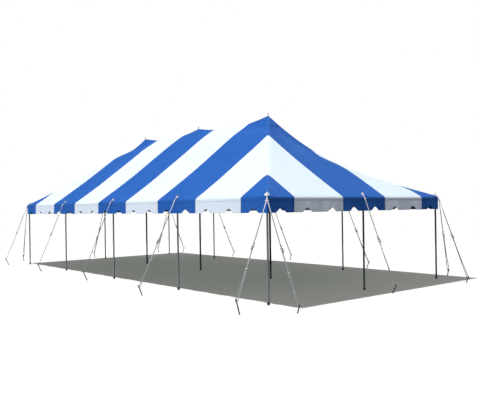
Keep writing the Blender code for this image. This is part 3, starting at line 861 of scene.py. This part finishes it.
rope_radius = 0.0095
side_stakes = {"front_2": (-0.27, -0.71, 0.20), "front_3": (-0.18, -0.72, 0.22),
               "front_4": (0.18, -1.11, 0.19), "back_2": (-0.07, 0.98, 0.18),
               "back_3": (-0.30, 1.25, 0.18), "back_4": (0.23, 0.83, 0.18),
               "left_end": (-0.85, 0.0, 0.18), "right_end": (0.74, 0.0, 0.15)}
corner_stakes = {"front_1": ((-1.48, 0.33, 0.18), (-0.35, -0.64, 0.20)),
                 "front_5": ((0.38, -1.08, 0.25), (0.98, -0.24, 0.12)),
                 "back_5": ((0.94, -0.27, 0.12), (-0.08, 0.68, 0.14)),
                 "back_1": ((-0.25, 0.88, 0.18), (-1.07, 0.18, 0.18))}
guys = [(name, "", offset, 0, f"guy_{name}", f"stake_{name}")
        for name, offset in side_stakes.items()]
guys += [(name, "_" + "ab"[turn], offset, turn, f"guys_{name}", f"stake_{name}_{'ab'[turn]}")
         for name, offsets in corner_stakes.items() for turn, offset in enumerate(offsets)]
stake_radius, stake_lean, stake_above_strap = 0.0125, 0.45, 0.042
ratchet_start, ratchet_end = 0.455, 0.505


def outward(offset):
    """Level way of a guy, from its pole to its stake."""
    return np.array([offset[0], offset[1], 0.0]) / np.hypot(offset[0], offset[1])


def stake_axis(pole, offset, height):
    """Point on a leaning stake's middle line at a height above the ground."""
    way = outward(offset)
    return np.array([pole[0] + offset[0], pole[1] + offset[1], height]) + way * stake_lean * height


def rounded(points, times):
    """A line of points with its corners cut off, a quarter of each length at a time."""
    line = np.array(points, dtype=float)
    for _ in range(times):
        first, second = line[:-1], line[1:]
        cut = np.stack([0.75 * first + 0.25 * second, 0.25 * first + 0.75 * second], axis=1)
        line = np.concatenate([line[:1], cut.reshape(-1, 3)[1:-1], line[-1:]])
    return line


def even(points, step):
    """The same line with points at an even spacing."""
    run = np.concatenate([[0.0], np.cumsum(np.linalg.norm(np.diff(points, axis=0), axis=1))])
    spots = np.linspace(0.0, run[-1], max(2, round(run[-1] / step) + 1))
    return np.stack([np.interp(spots, run, points[:, axis]) for axis in range(3)], axis=1), spots


def carried(path, run, outline, wide=1.0, tall=1.0):
    """Points and faces of an outline carried along a path, closed at both ends.

    outline gives a radius from the angle round the path and the length along it. The
    angle is counted from the level way across the path.
    """
    sides = 12
    ahead = np.gradient(path, axis=0)
    ahead /= np.linalg.norm(ahead, axis=1)[:, None]
    across = np.cross(ahead, [0.0, 0.0, 1.0])
    across /= np.linalg.norm(across, axis=1)[:, None]
    over = np.cross(across, ahead)
    angle = 2 * np.pi * np.arange(sides) / sides
    radius = outline(angle[None, :], run[:, None])
    points = (path[:, None, :] + (wide * radius * np.cos(angle))[..., None] * across[:, None, :]
              + (tall * radius * np.sin(angle))[..., None] * over[:, None, :])
    ring = np.arange(points.size // 3).reshape(len(path), sides)
    beside = np.roll(ring, -1, axis=1)
    faces = np.stack([ring[:-1], ring[1:], beside[1:], beside[:-1]], axis=-1).reshape(-1, 4)
    points = np.concatenate([points.reshape(-1, 3), path[[0, -1]]])
    first, last = points.shape[0] - 2, points.shape[0] - 1
    start = np.stack([ring[0], beside[0], beside[0] * 0 + first, beside[0] * 0 + first], axis=-1)
    finish = np.stack([beside[-1], ring[-1], ring[-1] * 0 + last, ring[-1] * 0 + last], axis=-1)
    return points, np.concatenate([faces, start, finish])


def strands(radius, pitch):
    """Outline of a rope laid from three strands that turn once in a pitch."""
    return lambda angle, run: radius * (0.94 + 0.06 * np.cos(3 * angle - 6 * np.pi * run / pitch))


def knot(middle, way, size, radius):
    """An overhand knot pulled tight: a trefoil line carried by a rope, flattened along its way."""
    turn = np.linspace(0.0, 2 * np.pi, 73)
    local = np.stack([np.sin(turn) + 2 * np.sin(2 * turn), np.cos(turn) - 2 * np.cos(2 * turn),
                      -1.3 * np.sin(3 * turn)], axis=1) * (size / 3)
    way = np.array(way) / np.linalg.norm(way)
    across = np.cross(way, [0.0, 0.0, 1.0])
    across /= np.linalg.norm(across)
    over = np.cross(across, way)
    path = middle + local[:, :1] * across + local[:, 1:2] * over + local[:, 2:] * way
    path += 1e-4 * np.array([0.3, 0.2, 0.1]) * turn[:, None] / (2 * np.pi)
    run = np.concatenate([[0.0], np.cumsum(np.linalg.norm(np.diff(path, axis=0), axis=1))])
    return carried(path, run, strands(radius, 0.03))


def over_eave(pole, start, way, slope):
    """Two rope points that carry it over the canopy's edge, inside and outside it.

    At a corner pole both ropes cross the very corner together and part below it.
    """
    half = np.array([half_length, half_width])
    if min(half - np.abs(pole)) == max(half - np.abs(pole)):
        corner = np.sign(pole) * half
        inside = np.append(corner - np.sign(pole) * 0.010, eave_height + 2 * rope_radius)
        outside = np.append(corner + np.sign(pole) * 0.012, eave_height - 0.050) + way * 0.005
        return inside, outside
    reach = min((half[axis] - abs(start[axis])) / abs(way[axis])
                for axis in (0, 1) if way[axis] * start[axis] > 0)
    inside, outside = start + way * (reach - 0.015), start + way * (reach + 0.014)
    inside[2] = eave_height + 0.015 * slope + 1.6 * rope_radius
    outside[2] = eave_height - 0.012
    return inside, outside


def guy_line(pole, offset, turn):
    """The winding on the pin, the line over the hem, and the two ends of the straight pull.

    The winding is a spiral that widens as it comes down on the sloping canopy, most at a
    corner, where two ropes share the pin.
    """
    slope = canopy_over(pole)[1]
    way = outward(offset)
    spin = 1.0 if turn == 0 else -1.0
    leave = np.arctan2(way[1], way[0]) - spin * np.pi / 2
    half = np.array([half_length, half_width])
    at_corner = min(half - np.abs(pole)) == max(half - np.abs(pole))
    turns, spread, rise = (3.2, 0.036, 0.028) if at_corner else (2.2, 0.010, 0.042)
    share = np.linspace(0.0, 1.0, 100)
    angle = leave - spin * (1 - share) * turns * 2 * np.pi
    loose = 0.0175 + (spread - 0.009 * turn) * share ** 2.5
    x, y = pole[0] + loose * np.cos(angle), pole[1] + loose * np.sin(angle)
    level = roof_height(x, y) + rope_radius + 0.004 + 0.013 * turn + rise * (1 - share)
    winding = np.stack([x, y, level], axis=1)
    inside, outside = over_eave(np.array(pole), winding[-1], way, slope)
    stake = stake_axis(pole, offset, offset[2]) - way * (stake_radius + 0.0107)
    return winding, inside, outside, stake


clean = (0.80, 0.83, 0.83, 1.0)
clean_rope = woven("clean_white_rope", clean, (0.55, 0.58, 0.58, 1.0), 0.0022)
white_rope = woven("white_twisted_rope", (0.27, 0.30, 0.30, 1.0), (0.15, 0.17, 0.17, 1.0), 0.0022,
                   clean)
# A dark copy of the rope for the guys at the back and the left end: painted shade below the eave, the
# clean colour above it.
shaded_side_rope = woven("painted_shade_rope", (0.075, 0.090, 0.080, 1.0), (0.035, 0.045, 0.038, 1.0), 0.0022,
                 clean)

for name, letter, offset, turn, guy_node, stake_node in guys:
    pole = edge_poles[name]
    winding, inside, outside, stake = guy_line(pole, offset, turn)
    line = stake - outside
    end = outside + line * ratchet_start
    run_down = rounded(np.array([inside, outside, outside + line * 0.03, end]), 3)
    path, run = even(np.concatenate([winding, run_down]), 0.006)
    rope = carried(path, run, strands(rope_radius, 0.066))
    hitch = knot(outside + line * 0.018, line, 0.0200, 0.0068)
    tied = knot(end - line / np.linalg.norm(line) * 0.012, line, 0.012, 0.0055)
    points, faces = joined([rope, hitch, tied])
    # The back and left end guys take the rope with painted shade.
    in_painted_shade = name.startswith("back") or name == "left_end"
    make_piece(f"rope_{name}{letter}", points, faces,
               [shaded_side_rope if in_painted_shade else white_rope], [guy_node])


# Ratchets
# Plated steel: two side plates on a winding spool with toothed wheels, and a folding handle.

def plate(outline, low, high):
    """A flat plate from an outline of (along, up) points, between two distances across."""
    outline = np.array(outline, dtype=float)
    count = len(outline)
    both = np.stack([np.column_stack([outline[:, 0], np.full(count, across), outline[:, 1]])
                     for across in (low, high)])
    middle = both.mean(axis=1)
    points = np.concatenate([both.reshape(-1, 3), middle])
    first = np.arange(count)
    second = np.roll(first, -1)
    rim = np.stack([first, second, second + count, first + count], axis=-1)
    near = np.stack([second, first, first * 0 + 2 * count, first * 0 + 2 * count], axis=-1)
    far = np.stack([first + count, second + count, first * 0 + 2 * count + 1,
                    first * 0 + 2 * count + 1], axis=-1)
    return points, np.concatenate([rim, near, far])


def slotted(length, start, width, lift, tilt):
    """Outline of a plate with round ends, from start along it, tilted about its start."""
    angle = np.linspace(np.pi / 2, 3 * np.pi / 2, 9)
    near = np.column_stack([width / 2 * np.cos(angle), width / 2 * np.sin(angle)])
    far = np.column_stack([length + width / 2 * np.cos(angle + np.pi),
                           width / 2 * np.sin(angle + np.pi)])
    line = np.concatenate([near, far])
    cos, sin = np.cos(tilt), np.sin(tilt)
    return np.column_stack([start + line[:, 0] * cos - line[:, 1] * sin,
                            lift + line[:, 0] * sin + line[:, 1] * cos])


def toothed(radius, teeth):
    """Outline of a toothed wheel, whose radius steps in and out round the turn."""
    angle = 2 * np.pi * np.arange(teeth * 4) / (teeth * 4)
    reach = radius * np.where(np.arange(teeth * 4) % 4 < 2, 1.0, 0.80)
    return np.column_stack([reach * np.cos(angle), reach * np.sin(angle)])


def round_bar(along, up, radius, half, sides=14):
    """A bar across the ratchet."""
    angle = 2 * np.pi * np.arange(sides) / sides
    return plate(np.column_stack([along + radius * np.cos(angle), up + radius * np.sin(angle)]),
                 -half, half)


frame_plates = joined([plate(slotted(0.100, -0.050, 0.026, 0.0, 0.0), low, low + 0.0022)
                       for low in (-0.0160, 0.0138)])
handle_plates = joined([plate(slotted(0.085, -0.010, 0.018, 0.010, 0.10), low, low + 0.0020)
                        for low in (-0.0205, 0.0185)])
wheels = joined([plate(toothed(0.0175, 11), low, low + 0.0022) for low in (-0.0184, 0.0162)])
bolts = joined([round_bar(-0.047, 0.0, 0.0045, 0.019), round_bar(0.047, 0.0, 0.0045, 0.019),
                round_bar(0.0, 0.0, 0.0065, 0.024)])
grip = round_bar(0.076, 0.019, 0.0075, 0.022, 18)
winding_strap = round_bar(0.0, 0.0, 0.0150, 0.0132, 24)
ratchet_parts = ((frame_plates, 0), (handle_plates, 0), (wheels, 1), (bolts, 1), (grip, 2),
                 (winding_strap, 3))


def plated(name, colour, rust, roughness, bare=0.6):
    """Plated steel with worn corners, rust in patches and fine pitting; bare is its metallic value."""
    material = bpy.data.materials.new(name)
    material.use_nodes = True
    tree = material.node_tree
    shader = tree.nodes["Principled BSDF"]
    spot = node(tree, "TexCoord").outputs["Object"]
    pits = node(tree, "TexNoise", {"Vector": spot, "Scale": 180.0, "Detail": 5.0})
    patches = node(tree, "TexNoise", {"Vector": spot, "Scale": 26.0, "Detail": 6.0,
                                      "Roughness": 0.65})
    rusty = node(tree, "MapRange", {"Value": patches.outputs[0], "From Min": 0.46,
                                    "From Max": 0.60})
    tree.links.new(tint(tree, rusty.outputs[0], colour, rust), shader.inputs["Base Color"])
    metal = node(tree, "MapRange", {"Value": rusty.outputs[0], "To Min": bare, "To Max": 0.05})
    tree.links.new(metal.outputs[0], shader.inputs["Metallic"])
    rough = node(tree, "MapRange", {"Value": rusty.outputs[0], "To Min": roughness,
                                    "To Max": 0.85})
    tree.links.new(rough.outputs[0], shader.inputs["Roughness"])
    bump = node(tree, "Bump", {"Height": pits.outputs[0], "Strength": 0.4, "Distance": 0.0006})
    tree.links.new(bump.outputs[0], shader.inputs["Normal"])
    return material


yellow_zinc = plated("yellow_plated_steel", (0.88, 0.83, 0.72, 1.0), (0.55, 0.42, 0.28, 1.0), 0.45, 0.1)
dark_steel = plated("dark_plated_steel", (0.34, 0.33, 0.31, 1.0), (0.22, 0.15, 0.10, 1.0), 0.45)
grip_rubber = rubber("grip_rubber", (0.05, 0.035, 0.025, 1.0))
grey_strap = woven("grey_polyester_strap", (0.35, 0.39, 0.40, 1.0), (0.20, 0.23, 0.24, 1.0), 0.0016)
# A dark copy of the strap for the same guys: painted shade.
shaded_side_strap = woven("painted_shade_strap", (0.085, 0.105, 0.090, 1.0), (0.04, 0.05, 0.042, 1.0), 0.0016)

for name, letter, offset, turn, guy_node, stake_node in guys:
    pole = edge_poles[name]
    _, _, outside, stake = guy_line(pole, offset, turn)
    line = stake - outside
    middle = outside + line * (ratchet_start + ratchet_end) / 2
    ahead = line / np.linalg.norm(line)
    across = np.cross(ahead, [0.0, 0.0, 1.0])
    across /= np.linalg.norm(across)
    basis = np.stack([ahead, across, np.cross(ahead, across) * -1.0])
    points, faces = joined([shape for shape, _ in ratchet_parts])
    finish = np.concatenate([np.full(len(shape[1]), shade) for shape, shade in ratchet_parts])
    make_piece(f"ratchet_{name}{letter}", middle + points @ basis, faces,
               [yellow_zinc, dark_steel, grip_rubber, grey_strap], [guy_node],
               shades=finish)


# Stake straps
# Polyester strap in a long loop from the ratchet round the stake, so that two legs show.

leg_radius = 0.0085
keeper_place = 0.40
for name, letter, offset, turn, guy_node, stake_node in guys:
    pole = edge_poles[name]
    _, _, outside, stake = guy_line(pole, offset, turn)
    line = stake - outside
    ahead = line / np.linalg.norm(line)
    across = np.cross(ahead, [0.0, 0.0, 1.0])
    across /= np.linalg.norm(across)
    way = outward(offset)
    top = outside + line * ratchet_end
    centre = stake_axis(pole, offset, offset[2])
    keeper = top + (stake - top) * keeper_place
    wrap = stake_radius + leg_radius * np.hypot(1.0, stake_lean) + 0.0006
    angle = np.radians(np.linspace(0.0, 180.0, 13))
    hoop = centre + wrap * (np.cos(angle)[:, None] * across + np.sin(angle)[:, None] * way)
    legs = np.concatenate([[top + across * 0.005], [keeper + across * 0.0055],
                           [hoop[0] - line * 0.03 - way * 0.002], hoop,
                           [hoop[-1] - line * 0.03 - way * 0.002], [keeper - across * 0.0055],
                           [top - across * 0.005]])
    path, run = even(rounded(legs, 2), 0.012)
    strap = carried(path, run, lambda angle, run: leg_radius + 0 * angle + 0 * run, tall=0.75)
    gathered = knot(keeper, line, 0.0150, 0.0065)
    points, faces = joined([strap, gathered])
    shade = np.concatenate([np.zeros(len(strap[1])), np.ones(len(gathered[1]))])
    # The back and left end straps take the copies with painted shade.
    in_painted_shade = name.startswith("back") or name == "left_end"
    make_piece(f"strap_{name}{letter}", points, faces,
               [shaded_side_strap if in_painted_shade else grey_strap,
                shaded_side_rope if in_painted_shade else clean_rope], [guy_node],
               shades=shade)


# Stakes
# Steel rods driven in at a slant, their heads spread by the hammer and their shafts rusted.

stake_steel = plated("rusted_stake_steel", (0.020, 0.020, 0.010, 1.0), (0.030, 0.022, 0.011, 1.0), 0.85,
                     0.0)
stake_head = 0.020
for name, letter, offset, turn, guy_node, stake_node in guys:
    neck = offset[2] + stake_above_strap - stake_head
    shaft = [(0.0, 0.0), (stake_radius - 0.001, 0.0), (stake_radius, 0.004),
             (stake_radius, neck * 0.35), (stake_radius, neck * 0.7), (stake_radius, neck - 0.006),
             (stake_radius + 0.0015, neck - 0.001), (0.0172, neck + 0.001), (0.0190, neck + 0.006),
             (0.0187, neck + 0.012), (0.0165, neck + 0.018), (0.010, neck + 0.0198),
             (0.0, neck + stake_head)]
    points, faces, _ = turned(shaft, (0.0, 0.0), 24)
    angle = np.arctan2(points[:, 1], points[:, 0])
    spread = np.clip((points[:, 2] - neck) / 0.01, 0.0, 1.0)
    points[:, :2] *= (1 - 0.06 * spread * np.abs(np.sin(2.5 * angle + len(name))))[:, None]
    points[:, :2] += (np.array(edge_poles[name]) + offset[:2]
                      + points[:, 2:] * stake_lean * outward(offset)[:2])
    make_piece("rod_" + stake_node, points, faces, [stake_steel], [stake_node])


no_shadow = bpy.data.collections.new("too_thin_for_a_shadow")
for piece in list(bpy.data.objects):
    if piece.name.startswith(("rope_", "ratchet_", "strap_", "rod_stake_", "tube_")):
        no_shadow.objects.link(piece)
for linked in no_shadow.collection_objects:
    linked.light_linking.link_state = "EXCLUDE"
floor_lamp.light_linking.blocker_collection = no_shadow
